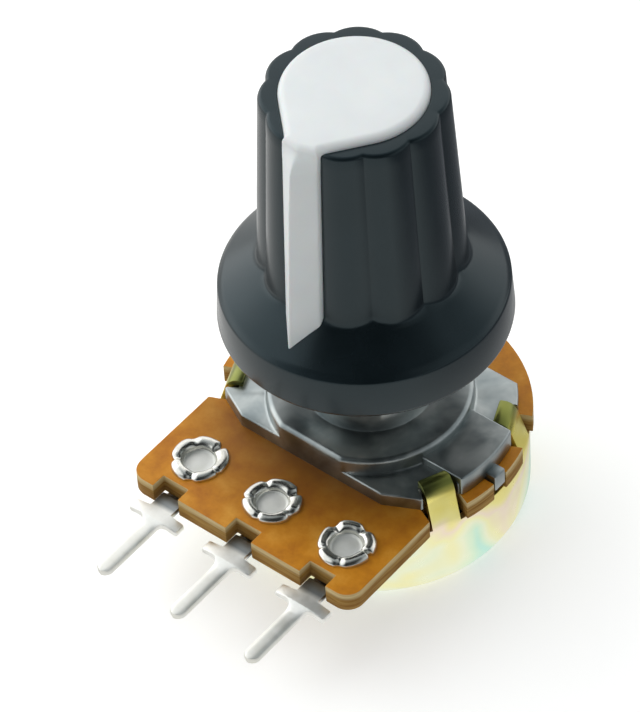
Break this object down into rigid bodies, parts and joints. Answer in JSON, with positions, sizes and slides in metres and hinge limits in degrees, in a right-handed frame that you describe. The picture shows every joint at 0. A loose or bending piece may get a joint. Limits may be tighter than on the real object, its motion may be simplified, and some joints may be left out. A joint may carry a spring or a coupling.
{
  "type": "rotary potentiometer",
  "caption": "Panel-mount rotary carbon potentiometer with right-angle solder pins, threaded bushing, splined slotted shaft and a fluted push-on pointer knob.",
  "frame": {"origin": "on the shaft axis in the mounting face, the top of the round boss that meets the panel", "axes": "+Z along the shaft towards the knob, -Y towards the terminals, +X to the right of the terminals"},
  "size_m": [0.0174, 0.0255, 0.0301],
  "materials": {
    "passivated_steel": "yellow passivated zinc plate",
    "phenolic_board": "amber phenolic laminate",
    "carbon_film": "printed carbon",
    "silver_film": "printed silver",
    "tinned_brass": "bright tin plate",
    "die_cast_zinc": "die-cast zinc, satin",
    "spring_steel": "bright",
    "shaft_alloy": "turned",
    "rotor_plastic": "moulded",
    "wiper_bronze": "spring sheet",
    "knob_plastic": "satin moulded black",
    "cap_plastic": "satin moulded white"
  },
  "bodies": {
    "housing": {"rear_can": "passivated_steel", "terminal_board": "phenolic_board", "carbon_track": "carbon_film", "end_pad_left": "silver_film", "end_pad_right": "silver_film", "collector_ring": "silver_film", "rivet_left": "tinned_brass", "rivet_middle": "tinned_brass", "rivet_right": "tinned_brass", "terminal_left": "tinned_brass", "terminal_middle": "tinned_brass", "terminal_right": "tinned_brass", "front_plate": "die_cast_zinc"},
    "shaft": {"shaft": "shaft_alloy", "thrust_washer": "spring_steel", "retaining_clip": "spring_steel", "rotor": "rotor_plastic", "wiper": "wiper_bronze"},
    "knob": {"knob_body": "knob_plastic", "pointer_cap": "cap_plastic"}
  },
  "joints": [
    {"name": "shaft rotation", "type": "hinge", "parent": "housing", "child": "shaft", "pos_m": [0, 0, 0], "axis": [0, 0, 1], "range_deg": [-150, 150]},
    {"name": "knob pull", "type": "slide", "parent": "shaft", "child": "knob", "axis": [0, 0, 1], "range_m": [0, 0.012]}
  ]
}
